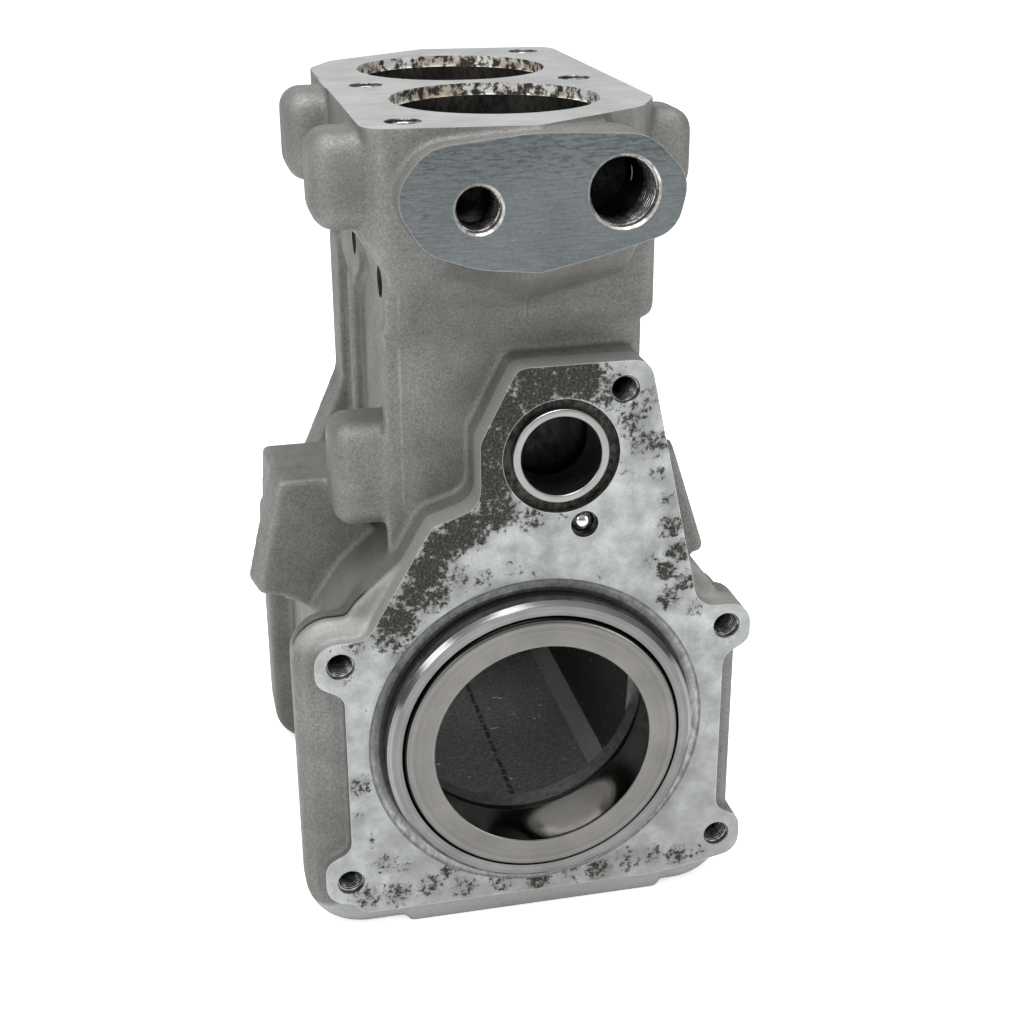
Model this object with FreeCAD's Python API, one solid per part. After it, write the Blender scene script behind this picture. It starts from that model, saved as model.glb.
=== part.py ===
import FreeCAD, Part
import math
import os
from FreeCAD import Vector

# Twin-cylinder pump housing, one aluminium casting with a steel bearing sleeve, bearing cups,
# a bush and plugs pressed into it. Millimetres.
# Origin: the camshaft axis on the machined front face. +X right, +Y into the housing, +Z up.

# Front bearing: an outer race ring pressed into a steel sleeve
cupOuter = 72.0
cupWidth = 23.0
cupMouth = 55.77
cupAngle = 11.86
cupCorner = 2.4
cupProud = 6.1
sleeveWall = 4.0
sleeveProud = 5.2
sleeveFloor = 2.0
sleeveLedge = 3.0
sleeveBevel = 0.8
reliefOut = 4.0
reliefDepth = 1.8

# Rear bearing race, pressed into the casting from behind
rearCupOuter = 62.0
rearCupWidth = 17.0
rearCupMouth = 49.0
rearCupSet = 1.0
rearLedge = 4.0

# Front flange, and how far its lobes, waist and crown stand beyond their holes and the sleeve
flangeThick = 14.0
flangeWaist = 9.4
flangeSkirt = 7.8
lobeOut = 6.5
lobeHigh = 6.1
crownHigh = 7.2
flangeHoleX = 50.0
flangeHoleHigh = 25.5
flangeHoleLow = -37.75
flangeHoleRadius = 3.4
flangeHoleDepth = 20.0
crownHoleX = 21.4
crownHoleZ = 91.7
threadMouth = 0.6

# Gear shaft bush above the bearing
bushX = 5.8
bushZ = 75.9
bushInner = 20.1
bushOuter = 24.1
bushLength = 14.0
bushGroove = 29.2
bushGrooveDepth = 2.6
bushPocket = 3.0

# Ball pressed into the oil gallery below the bush
ballX = 11.7
ballZ = 57.7
ballRadius = 3.0
ballPocket = 3.5
ballPocketDepth = 2.6
ballSink = 1.0
galleryDepth = 18.0

# Tappet bores, and the walls the head and the neck leave around them
boreRadius = 25.6
boreWeb = 7.3
neckFront = 14.0
neckFrontWall = 7.2
neckSideWall = 5.9
headSideWall = 12.9
headEndWall = 14.4
lipStep = 0.6
lipDepth = 3.0

# Head, a block with two corners cut away
headTop = 154.3
headBase = 126.0
headTaper = 16.0
headCutLong = 31.2
headCutWide = 7.5
headApexX = 0.9
headApexOut = 3.6
headBoltOut = 2.4
headBoltPitch = 60.0
headBoltRadius = 4.25
headBoltDepth = 26.0

# Bolt columns on the neck and the ribs below them
columnRadius = 7.4
columnFoot = 104.0
ribWide = 5.0
ribInset = 0.4
ribRoot = 26.0
ribFoot = 20.0
sideHoleZ = 112.5
sideHoleRadius = 3.9
sideHoleDepth = 5.0

# Pad with two ports on the head's front
padFace = -1.0
padDepth = 16.0
padRim = 0.6
padDrop = 12.0
padPointX = 0.4
padPointZ = 121.6
smallPortX = -14.0
smallPortZ = 136.8
smallPortRadius = 5.3
smallPortDepth = 17.0
largePortX = 19.9
largePortZ = 139.2
largePortRadius = 8.2
largePortDepth = 20.0
feedRadius = 2.6

# Cam case: a frame behind the flange, a barrel, a rear frame, a foot and a round nose
caseLeft = -61.4
caseRight = 54.6
caseHigh = 36.0
caseFloor = 14.2
frameFront = 3.0
frameDeep = 10.0
frameEdge = 2.5
barrelSide = 53.0
barrelHigh = 52.0
rearStep = 32.1
rearDeep = 16.0
rearShoulder = 110.0
rearWaist = 66.0
footSide = 35.0
footProud = 0.2
footFront = 2.6
noseWall = 11.5
noseLong = 31.0
noseBevel = 1.5
noseBoltRadius = 2.5
noseBoltDepth = 14.0

# Cam chamber
chamberSide = 33.0
chamberFloor = -38.0
chamberRoof = 34.0
chamberBevel = 8.0
chamberWall = 5.5
rearWall = 4.0
boreEntry = 4.0

# Tilted side pads at the case's shoulders: a leaning slab in front, and on the left a block behind it
padNear = 34.0
padThick = 10.0
padLong = 30.0
padHigh = 62.0
padLow = 31.5
padLeftTop = 59.8
padLeftLow = 67.2
padRightTop = 45.6
padRightLow = 55.4
padDrift = 2.0
padRoot = 36.0

# Sizes that follow from the ones above
sleeveRadius = cupOuter / 2 + sleeveWall
sleeveEnd = cupWidth - cupProud + sleeveFloor
caseLow = -sleeveRadius - caseFloor
borePitch = 2 * boreRadius + boreWeb
boreFirst = neckFront + neckFrontWall + boreRadius
headMiddle = boreFirst + borePitch / 2
headReach = borePitch / 2 + boreRadius + headEndWall
headSide = boreRadius + headSideWall
neckSide = boreRadius + neckSideWall
headBoltX = boreRadius + headBoltOut
rearFace = 2 * headMiddle - rearStep
noseFace = rearFace + noseLong
noseRadius = rearCupOuter / 2 + noseWall

# Cast lugs: side, reach out of the head's side, start and length along Y, drop of the top and
# bottom below the head's top, edge radius
castLugs = [
    (-1, 11.7, 9.5, 21.5, 1.5, 23.8, 5.5),
    (-1, 11.3, headMiddle - 6.0, 23.0, 0.9, 23.8, 5.5),
    (1, 10.3, headMiddle - 41.0, 21.0, 3.1, 24.3, 5.5),
    (-1, 9.3, neckFront + 1.5, 19.5, 72.8, 99.3, 5.0),
]
lugRoot = 11.0
throatNear = 0.5
throatLong = 45.5
throatSide = 1.7
throatLow = 104.0
throatHigh = 132.0


def roundedOutline(corners, toSpace):
    # Straight runs with a tangent arc at each corner, from (u, v, radius) rows
    edges = []
    firsts = []
    lasts = []
    mids = []
    count = len(corners)
    for index in range(count):
        u, v, radius = corners[index]
        here = Vector(u, v, 0)
        back = Vector(corners[index - 1][0], corners[index - 1][1], 0) - here
        ahead = Vector(corners[(index + 1) % count][0], corners[(index + 1) % count][1], 0) - here
        back.normalize()
        ahead.normalize()
        half = back.getAngle(ahead) / 2
        reach = radius / math.tan(half)
        inward = back + ahead
        inward.normalize()
        firsts.append(here + back * reach)
        lasts.append(here + ahead * reach)
        mids.append(here + inward * (radius / math.sin(half) - radius))
    for index in range(count):
        if corners[index][2] > 0:
            arc = Part.Arc(toSpace(firsts[index]), toSpace(mids[index]), toSpace(lasts[index]))
            edges.append(arc.toShape())
        following = firsts[(index + 1) % count]
        if lasts[index].distanceToPoint(following) > 1e-4:
            edges.append(Part.makeLine(toSpace(lasts[index]), toSpace(following)))
    return Part.Wire(Part.__sortEdges__(edges))


def inFront(depth):
    # Outline drawn as (x, z) in the upright plane at this depth
    return lambda p: Vector(p.x, depth, p.y)


def inPlan(height):
    # Outline drawn as (x, y) in the level plane at this height
    return lambda p: Vector(p.x, p.y, height)


def frontPrism(corners, near, far):
    face = Part.Face(roundedOutline(corners, inFront(near)))
    return face.extrude(Vector(0, far - near, 0))


def planPrism(corners, low, high):
    face = Part.Face(roundedOutline(corners, inPlan(low)))
    return face.extrude(Vector(0, 0, high - low))


def castBlock(x0, x1, y0, y1, z0, z1, radius):
    block = Part.makeBox(x1 - x0, y1 - y0, z1 - z0, Vector(x0, y0, z0))
    return block.makeFillet(radius, block.Edges)


def frontBore(x, z, radius, near, far):
    return Part.makeCylinder(radius, far - near, Vector(x, near, z), Vector(0, 1, 0))


def tappedHole(mouth, inward, radius, depth):
    # Blind core hole with a drill point and a countersunk mouth
    hole = Part.makeCylinder(radius, depth, mouth, inward)
    point = Part.makeCone(radius, 0, radius * 0.6, mouth + inward * depth, inward)
    mouthCone = Part.makeCone(radius + threadMouth, radius, threadMouth, mouth, inward)
    return hole.fuse([point, mouthCone])


# Front flange outline, clockwise from the top left corner, (x, z, corner radius)
flangeSide = sleeveRadius + flangeWaist
lobeSide = flangeHoleX + lobeOut
crownTop = crownHoleZ + crownHigh
flangeCorners = [
    (bushX - 10.8, crownTop, 3.5),
    (crownHoleX + 6.2, crownTop, 5.0),
    (flangeHoleX - 8.0, flangeHoleHigh + lobeHigh, 6.0),
    (lobeSide, flangeHoleHigh + lobeHigh, 6.0),
    (lobeSide, flangeHoleHigh - 4.9, 4.2),
    (flangeSide, flangeHoleHigh - 8.6, 4.0),
    (flangeSide, flangeHoleLow + 8.4, 4.0),
    (lobeSide, flangeHoleLow + 4.6, 4.5),
    (lobeSide, flangeHoleLow - 6.3, 5.5),
    (flangeHoleX - 16.0, -sleeveRadius - flangeSkirt, 20.0),
    (3.0 - flangeHoleX, -sleeveRadius - flangeSkirt, 1.5),
    (0.4 - flangeHoleX, flangeHoleLow - 6.6, 1.2),
    (-lobeSide, flangeHoleLow - 6.3, 5.8),
    (-lobeSide, flangeHoleLow + 6.2, 4.5),
    (-flangeSide, flangeHoleLow + 9.4, 4.0),
    (-flangeSide, flangeHoleHigh - 8.6, 4.0),
    (-lobeSide, flangeHoleHigh - 4.9, 4.2),
    (-lobeSide, flangeHoleHigh + lobeHigh + 0.2, 6.0),
    (6.8 - flangeHoleX, flangeHoleHigh + lobeHigh + 0.2, 5.5),
    (bushX - 32.2, bushZ - 15.4, 2.0),
    (bushX - 20.1, bushZ - 11.5, 6.0),
    (bushX - 20.1, bushZ + 4.8, 1.5),
]

# Half of the head's outline from above, as (x, distance ahead of the head's middle, corner
# radius); the other half is this one turned about the middle
headCorners = [
    (headSide, headReach - headCutLong, 10.0),
    (headSide - headCutWide, headReach - headCutLong + 14.5, 10.0),
    (headApexX, headReach + headApexOut, 3.0),
    (-headSide, headReach, 6.5),
]
neckReach = headMiddle - neckFront
neckCorners = [
    (neckSide, neckReach - 7.0, 4.0),
    (neckSide - 4.0, neckReach - 1.5, 4.0),
    (headApexX, neckReach, 3.0),
    (-neckSide, neckReach - 0.5, 4.0),
]

# Oval pad on the head's front, (x, z, corner radius)
padCorners = [
    (0.0, headTop - 0.9, 60.0),
    (largePortX + 5.6, headTop - 2.1, 12.0),
    (largePortX + 15.5, largePortZ + 2.8, 8.0),
    (largePortX + 12.7, largePortZ - 9.6, 8.0),
    (largePortX - 5.5, largePortZ - 14.6, 30.0),
    (padPointX, padPointZ, 0.6),
    (smallPortX, smallPortZ - 13.8, 30.0),
    (smallPortX - 12.6, smallPortZ - 9.4, 10.0),
    (smallPortX - 20.0, smallPortZ + 3.2, 9.0),
    (smallPortX - 11.5, headTop - 3.3, 12.0),
]


def wholeOutline(half):
    front = [(x, headMiddle - ahead, radius) for x, ahead, radius in half]
    back = [(-x, headMiddle + ahead, radius) for x, ahead, radius in half]
    return front + back


def headBody():
    # Block, waist that tapers in below it, and the straight neck
    wide = wholeOutline(headCorners)
    slim = wholeOutline(neckCorners)
    block = planPrism(wide, headBase, headTop)
    upper = roundedOutline(wide, inPlan(headBase))
    lower = roundedOutline(slim, inPlan(headBase - headTaper))
    throat = Part.makeLoft([lower, upper], True, True)
    stem = planPrism(slim, 0, headBase - headTaper)
    return block.fuse([throat, stem])


def headBoltPlaces():
    # Left pair from the front corner to the middle, right pair from the middle to the rear corner
    left = [(-headBoltX, headMiddle - headBoltPitch), (-headBoltX, headMiddle)]
    right = [(headBoltX, headMiddle), (headBoltX, headMiddle + headBoltPitch)]
    return left + right


def boltColumns():
    # A round column under each head bolt, drawn down into a narrow rib
    pieces = []
    wide = 2 * (headBoltX + 2 * columnRadius)
    walls = Part.makeBox(wide, 2 * neckReach - 2.0, headTop, Vector(-wide / 2, neckFront + 1.0, 0))
    for x, y in headBoltPlaces():
        side = 1 if x > 0 else -1
        foot = Vector(x, y, columnFoot)
        shank = Part.makeCylinder(columnRadius, headBase - columnFoot, foot)
        fall = Vector(0, 0, columnRadius + 1.6)
        taper = Part.makeCone(ribWide / 2, columnRadius, fall.z, foot - fall)
        pieces.append(shank.common(walls))
        pieces.append(taper.common(walls))
        reach = headBoltX + columnRadius - ribInset
        rib = [
            (side * reach, y - ribWide / 2, 1.6),
            (side * reach, y + ribWide / 2, 1.6),
            (side * ribRoot, y + ribWide / 2, 0),
            (side * ribRoot, y - ribWide / 2, 0),
        ]
        pieces.append(planPrism(rib, ribFoot, columnFoot).common(walls))
    return pieces


def ovalPad():
    # Straight behind its face, with a chin that leans down into the neck just behind the rim
    straight = Part.Face(roundedOutline(padCorners, inFront(padFace))).extrude(Vector(0, padDepth, 0))
    low = padPointZ + padRim
    left = smallPortX - 8.0
    right = largePortX + 5.1
    outline = [(left, low + 16, 0), (right, low + 16, 0), (right, low + 6.4, 0)]
    outline += [(padPointX, low, 0), (left, low + 5, 0)]
    chin = Part.Face(roundedOutline(outline, inFront(padFace + padRim)))
    leaning = chin.extrude(Vector(0, padDepth - padRim, -padDrop))
    return [straight, leaning]


def camCase():
    frame = [
        (caseRight, caseHigh - 3.5, 9.0),
        (caseRight, caseLow, 15.0),
        (caseLeft, caseLow, 16.0),
        (caseLeft, caseHigh, 10.0),
    ]
    rear = [
        (-neckSide - 3.0, rearShoulder, 3.0),
        (neckSide + 3.0, rearShoulder, 3.0),
        (neckSide + 3.0, rearWaist, 10.0),
        (caseRight - 6.4, 36.0, 10.0),
        (caseRight, 24.0, 6.0),
        (caseRight, caseLow, 12.0),
        (caseLeft + 0.8, caseLow, 12.0),
        (caseLeft + 0.8, 24.0, 8.0),
        (caseLeft + 15.4, 40.0, 10.0),
        (-neckSide - 3.0, rearWaist, 10.0),
    ]
    barrel = [
        (23.0 - barrelSide, barrelHigh, 6.0),
        (barrelSide - 23.0, barrelHigh, 6.0),
        (barrelSide - 8.0, barrelHigh - 13.0, 8.0),
        (barrelSide, barrelHigh - 25.0, 8.0),
        (barrelSide, caseLow, 12.0),
        (-barrelSide, caseLow, 12.0),
        (-barrelSide, barrelHigh - 25.0, 8.0),
        (8.0 - barrelSide, barrelHigh - 13.0, 8.0),
    ]
    front = frontPrism(frame, frameFront, frameFront + frameDeep)
    front = front.makeChamfer(frameEdge, [e for e in front.Edges if abs(e.BoundBox.YMax - frameFront) < 0.01])
    back = frontPrism(rear, rearFace - rearDeep, rearFace)
    middle = frontPrism(barrel, frameFront + 3.0, rearFace - 1.0)
    nose = frontBore(0, 0, noseRadius, rearFace - rearDeep, noseFace)
    nose = nose.makeChamfer(noseBevel, [e for e in nose.Edges if abs(e.BoundBox.YMin - noseFace) < 0.01])
    low = caseLow - footProud
    foot = Part.makeBox(2 * footSide, rearFace - footFront - 1.0, footProud + 4.0, Vector(-footSide, footFront, low))
    foot = foot.makeChamfer(0.8, [e for e in foot.Edges if abs(e.BoundBox.ZMax - low) < 0.01])
    return [front, back, middle, nose, foot]


def castBosses():
    # Rounded lugs on the head's flanks and one low on the neck's left, and the head's right throat
    pieces = []
    for side, out, near, long, top, bottom, radius in castLugs:
        tip = side * (headSide + out)
        root = side * (headSide - lugRoot)
        pieces.append(castBlock(min(tip, root), max(tip, root), near, near + long,
                                headTop - bottom, headTop - top, radius))
    near = neckFront + throatNear
    pieces.append(castBlock(0.0, neckSide + throatSide, near, near + throatLong, throatLow, throatHigh, 3.5))
    return pieces


def sidePads():
    # Slabs that face forward with an outer edge tilted outward and down, one on each shoulder
    pieces = []
    for side, top, low in ((-1, padLeftTop, padLeftLow), (1, padRightTop, padRightLow)):
        outline = [
            (side * padRoot, padHigh, 0),
            (side * top, padHigh, 1.6),
            (side * low, padLow, 2.0),
            (side * (low - 7.0), padLow - 1.5, 3.0),
            (side * (padRoot + 10.0), padLow - 10.0, 3.0),
            (side * padRoot, padLow - 10.0, 0),
        ]
        slab = Part.Face(roundedOutline(outline, inFront(padNear)))
        pieces.append(slab.extrude(Vector(side * padDrift, padThick, 0)))
    near = padNear + padThick - 1.0
    block = [
        (-padRoot, padHigh - 0.2, 0),
        (-padLeftTop - 0.8, padHigh - 0.2, 1.6),
        (-padLeftTop - 2.4, padLow + 8.0, 3.0),
        (-padLeftTop, padLow - 7.0, 3.0),
        (-padRoot, padLow - 10.0, 0),
    ]
    rear = Part.Face(roundedOutline(block, inFront(near)))
    pieces.append(rear.extrude(Vector(-1.0, padNear + padLong - near, 0)))
    return pieces


def chamber():
    # Space for the cam, its floor running from the front bearing to the rear wall
    section = [
        (-chamberSide, chamberRoof, 8.0),
        (chamberSide, chamberRoof, 8.0),
        (chamberSide, chamberFloor + chamberBevel, 4.0),
        (chamberSide - chamberBevel, chamberFloor, 4.0),
        (-chamberSide + chamberBevel, chamberFloor, 4.0),
        (-chamberSide, chamberFloor + chamberBevel, 4.0),
    ]
    return frontPrism(section, sleeveEnd + chamberWall, rearFace - rearWall)


def boreCentres():
    return [boreFirst, boreFirst + borePitch]


def housingCuts():
    cuts = [chamber()]
    cuts.append(frontBore(0, 0, sleeveRadius, -1, sleeveEnd))
    outside = sleeveRadius + reliefOut
    cuts.append(Part.makeCone(outside, sleeveRadius, reliefDepth, Vector(0, 0, 0), Vector(0, 1, 0)))
    cuts.append(frontBore(0, 0, cupOuter / 2 - sleeveLedge, sleeveEnd - 1, sleeveEnd + chamberWall + 1))
    rearSeat = noseFace - rearCupSet - rearCupWidth
    cuts.append(frontBore(0, 0, rearCupOuter / 2, rearSeat, noseFace + 1))
    cuts.append(frontBore(0, 0, rearCupOuter / 2 - rearLedge, rearFace - rearWall - 1, rearSeat + 1))
    for turn in (45, 135, 225, 315):
        out = (rearCupOuter + noseWall) / 2
        aside = out * math.cos(math.radians(turn))
        height = out * math.sin(math.radians(turn))
        cuts.append(tappedHole(Vector(aside, noseFace, height), Vector(0, -1, 0), noseBoltRadius, noseBoltDepth))
    for y in boreCentres():
        deep = chamberRoof - boreEntry
        cuts.append(Part.makeCylinder(boreRadius, headTop - deep, Vector(0, y, deep)))
        cuts.append(Part.makeCylinder(boreRadius + lipStep, lipDepth, Vector(0, y, headTop - lipDepth)))
    for x, y in headBoltPlaces():
        cuts.append(tappedHole(Vector(x, y, headTop), Vector(0, 0, -1), headBoltRadius, headBoltDepth))
        side = 1 if x > 0 else -1
        mouth = Vector(side * (headBoltX + columnRadius + 1.0), y, sideHoleZ)
        cuts.append(Part.makeCylinder(sideHoleRadius, sideHoleDepth + 1.0, mouth, Vector(-side, 0, 0)))
    for side in (-1, 1):
        for z in (flangeHoleHigh, flangeHoleLow):
            mouth = Vector(side * flangeHoleX, 0, z)
            cuts.append(tappedHole(mouth, Vector(0, 1, 0), flangeHoleRadius, flangeHoleDepth))
    crown = Vector(crownHoleX, 0, crownHoleZ)
    cuts.append(tappedHole(crown, Vector(0, 1, 0), flangeHoleRadius, flangeHoleDepth))
    cuts.append(frontBore(bushX, bushZ, bushGroove / 2, -1, bushGrooveDepth))
    cuts.append(frontBore(bushX, bushZ, bushOuter / 2, -1, bushLength + bushPocket))
    cuts.append(frontBore(ballX, ballZ, ballPocket, -1, ballPocketDepth))
    cuts.append(frontBore(ballX, ballZ, ballRadius, 0, galleryDepth))
    small = Vector(smallPortX, padFace, smallPortZ)
    large = Vector(largePortX, padFace, largePortZ)
    cuts.append(tappedHole(small, Vector(0, 1, 0), smallPortRadius, smallPortDepth))
    cuts.append(tappedHole(large, Vector(0, 1, 0), largePortRadius, largePortDepth))
    for port in (small, large):
        cuts.append(Part.makeCylinder(feedRadius, boreCentres()[0], port, Vector(0, 1, 0)))
    return cuts


def housing():
    flange = frontPrism(flangeCorners, 0, flangeThick + 1.0)
    body = headBody()
    for solid in [flange] + ovalPad() + boltColumns() + camCase() + castBosses() + sidePads():
        body = body.fuse(solid)
    for tool in housingCuts():
        body = body.cut(tool)
    return body


def turned(points):
    # Ring about the bearing axis from an (outward, depth) section, corners joined by straight runs
    wire = Part.makePolygon([Vector(r, y, 0) for r, y in points + points[:1]])
    return Part.Face(wire).revolve(Vector(0, 0, 0), Vector(0, 1, 0), 360)


def bearingCup(outer, width, mouth, near, inward):
    # Race ring: flat narrow end at the mouth, raceway widening along the inward direction
    wide = mouth / 2 + width * math.tan(math.radians(cupAngle))
    far = near + inward * width
    edge = 0.9
    section = [
        (mouth / 2 + edge, near),
        (outer / 2 - cupCorner, near),
        (outer / 2 - cupCorner * 0.3, near + inward * cupCorner * 0.3),
        (outer / 2, near + inward * cupCorner),
        (outer / 2, far - inward * 1.2),
        (outer / 2 - 1.2, far),
        (wide + edge, far),
        (wide, far - inward * edge),
        (mouth / 2, near + inward * edge),
    ]
    return turned(section)


def frontSleeve():
    # Pressed into the casting, with its front part standing proud as a register
    inner = cupOuter / 2
    near = -sleeveProud
    seat = sleeveEnd - sleeveFloor
    section = [
        (inner + sleeveBevel, near),
        (sleeveRadius - sleeveBevel, near),
        (sleeveRadius, near + sleeveBevel),
        (sleeveRadius, sleeveEnd),
        (inner - sleeveLedge, sleeveEnd),
        (inner - sleeveLedge, seat),
        (inner, seat),
        (inner, near + sleeveBevel),
    ]
    return turned(section)


def shaftBush():
    tube = frontBore(bushX, bushZ, bushOuter / 2, 0, bushLength)
    hole = frontBore(bushX, bushZ, bushInner / 2, -1, bushLength + 1)
    tube = tube.cut(hole)
    rims = [e for e in tube.Edges if e.BoundBox.YLength < 0.01 and abs(e.BoundBox.YMin) < 0.01]
    return tube.makeChamfer(0.5, rims)


def galleryBall():
    return Part.makeSphere(ballRadius, Vector(ballX, ballSink + ballRadius, ballZ))


def main():
    os.makedirs("parts", exist_ok=True)
    rearNear = noseFace - rearCupSet
    pieces = {
        "housing": housing(),
        "front_bearing_sleeve": frontSleeve(),
        "front_bearing_cup": bearingCup(cupOuter, cupWidth, cupMouth, -cupProud, 1),
        "rear_bearing_cup": bearingCup(rearCupOuter, rearCupWidth, rearCupMouth, rearNear, -1),
        "gear_shaft_bush": shaftBush(),
        "gallery_ball": galleryBall(),
    }
    for name, shape in pieces.items():
        print(name, shape.isValid(), len(shape.Solids), round(shape.Volume), shape.BoundBox)
        shape.exportStep("parts/" + name + ".step")


main()
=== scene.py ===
import math
import bmesh
import bpy
from mathutils import Matrix, Vector


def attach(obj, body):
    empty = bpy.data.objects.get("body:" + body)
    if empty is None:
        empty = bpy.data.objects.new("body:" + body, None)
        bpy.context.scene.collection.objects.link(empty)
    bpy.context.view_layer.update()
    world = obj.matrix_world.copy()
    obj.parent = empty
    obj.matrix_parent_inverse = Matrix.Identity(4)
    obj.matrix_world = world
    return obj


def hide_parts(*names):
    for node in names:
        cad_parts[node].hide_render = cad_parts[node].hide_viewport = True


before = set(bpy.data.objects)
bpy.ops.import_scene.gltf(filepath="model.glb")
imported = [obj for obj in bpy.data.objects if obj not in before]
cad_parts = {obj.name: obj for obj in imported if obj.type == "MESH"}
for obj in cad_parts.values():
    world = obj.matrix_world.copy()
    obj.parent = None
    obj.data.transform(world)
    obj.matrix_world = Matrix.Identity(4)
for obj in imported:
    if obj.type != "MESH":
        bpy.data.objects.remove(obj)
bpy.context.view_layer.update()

mm = 0.001


def hexLinear(code):
    # sRGB hex to the linear colour the shader wants
    parts = [int(code[i:i + 2], 16) / 255 for i in (1, 3, 5)]
    return tuple(c / 12.92 if c <= 0.04045 else ((c + 0.055) / 1.055) ** 2.4 for c in parts) + (1.0,)


def addNode(tree, kind, inputs=None, **settings):
    # One node with its settings. A shader node's kind is given without its leading ShaderNode,
    # and an input is a value or an output socket to link from
    made = tree.nodes.new(kind if "Node" in kind else "ShaderNode" + kind)
    for name, value in settings.items():
        setattr(made, name, value)
    for key, value in (inputs or {}).items():
        socket = made.inputs[key]
        if isinstance(value, bpy.types.NodeSocket):
            tree.links.new(value, socket)
        else:
            socket.default_value = value
    return made


def newMaterial(name):
    made = bpy.data.materials.new(name)
    made.use_nodes = True
    made.node_tree.nodes.clear()
    return made, made.node_tree


def rangeOf(value, low, high, atLow, atHigh):
    # Map Range inputs: value from low to high gives atLow to atHigh
    return {"Value": value, 1: low, 2: high, 3: atLow, 4: atHigh}


def noiseOf(vector, scale, detail=2.0, rough=0.5):
    # Noise Texture inputs: scale is spots to the millimetre
    return {"Vector": vector, "Scale": scale, "Detail": detail, "Roughness": rough}


def millimetres(tree, turn=(0, 0, 0), stretch=(1, 1, 1)):
    # Object coordinates counted in millimetres
    coords = addNode(tree, "TexCoord").outputs["Object"]
    scale = tuple(s / mm for s in stretch)
    placed = addNode(tree, "Mapping", {"Vector": coords, "Rotation": turn, "Scale": scale})
    return placed.outputs[0]


def ramp(tree, factor, stops):
    # Colour along a factor, from (place, code) stops
    made = addNode(tree, "ValToRGB", {"Fac": factor})
    band = made.color_ramp
    while len(band.elements) < len(stops):
        band.elements.new(0.5)
    for element, (place, code) in zip(band.elements, stops):
        element.position = place
        element.color = hexLinear(code)
    return made.outputs[0]


def finishShader(tree, colour, rough, height, distance, strength, metallic):
    shader = addNode(tree, "BsdfPrincipled", {"Base Color": colour, "Roughness": rough, "Metallic": metallic})
    bump = addNode(tree, "Bump", {"Height": height, "Distance": distance, "Strength": strength})
    tree.links.new(bump.outputs[0], shader.inputs["Normal"])
    addNode(tree, "OutputMaterial", {"Surface": shader.outputs[0]})


def product(tree, *factors):
    # Masks multiplied together
    whole = factors[0]
    for factor in factors[1:]:
        whole = addNode(tree, "Math", {0: whole, 1: factor}, operation="MULTIPLY").outputs[0]
    return whole


def overlay(tree, colour, code, *masks):
    # Lays a tone over a colour where its masks meet
    factor = product(tree, *masks)
    return addNode(tree, "Mix", {0: factor, 6: colour, 7: hexLinear(code)}, data_type="RGBA").outputs[2]


def bandMask(tree, value, band, soft):
    # 1 while the value lies inside the band, with soft ends
    low, high = band
    rise = addNode(tree, "MapRange", rangeOf(value, low - soft, low, 0.0, 1.0))
    fall = addNode(tree, "MapRange", rangeOf(value, high, high + soft, 1.0, 0.0))
    return product(tree, rise.outputs[0], fall.outputs[0])


def paintEdgeHighlight(tree, colour, radius, code, amount):
    # Painted highlight on convex edges, found where the rounded normal leaves the plain one
    rounded = addNode(tree, "Bevel", {"Radius": radius * mm}, samples=4).outputs[0]
    plain = addNode(tree, "NewGeometry").outputs["Normal"]
    same = addNode(tree, "VectorMath", {0: rounded, 1: plain}, operation="DOT_PRODUCT").outputs["Value"]
    highlighted = addNode(tree, "MapRange", rangeOf(same, 0.99, 0.85, 0.0, 1.0)).outputs[0]
    return overlay(tree, colour, code, highlighted, amount)


def joinMesh(name, work, mats=()):
    mesh = bpy.data.meshes.new(name)
    work.to_mesh(mesh)
    work.free()
    piece = bpy.data.objects.new(name, mesh)
    bpy.context.scene.collection.objects.link(piece)
    for mat in mats:
        mesh.materials.append(mat)
    return piece


def settle(piece):
    # Applies the modifiers by swapping in the evaluated mesh
    graph = bpy.context.evaluated_depsgraph_get()
    done = bpy.data.meshes.new_from_object(piece.evaluated_get(graph), depsgraph=graph)
    old = piece.data
    piece.modifiers.clear()
    piece.data = done
    bpy.data.meshes.remove(old)
    return piece


castLook = {
    "tones": ((0.33, "#565653"), (0.5, "#72726f"), (0.68, "#908f8c")),
    "grainScale": 1.9, "cloudScale": 0.07,  # pits of half a millimetre, clouds of 14 mm
    "bumpDeep": 0.00028, "bumpStrength": 0.55, "metallic": 0.5,
    # Marks: tone, then the millimetres between which each lies
    "parting": {"x": (0.1, 0.4), "z": (108.0, 122.0), "y": (-1.0, 16.0), "rise": 0.9},
    "rim": {"tone": "#a3a3a0", "y": (0.0, 7.2), "z": (31.0, 98.0), "amount": 0.5},
    "ear": {"x": (-64.0, -43.0), "z": (29.5, 42.0), "line": "#1d1d1b", "shadowLineY": (7.7, 8.3),
            "shade": "#3c3c3a", "shadeY": (8.5, 13.0), "amount": 0.45},
    "oil": {"tone": "#484846", "from": 5.0, "full": -50.0, "amount": 0.28},
    "foot": {"tone": "#b4b6b4", "z": (-60.0, -46.5), "y": (-1.0, 14.0), "amount": 0.6},
    "corner": {"tone": "#a8a8a4", "x": (-30.9, -30.5), "z": (62.0, 113.0), "y": (11.0, 17.0),
               "amount": (0.06, 0.32)},
}


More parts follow.
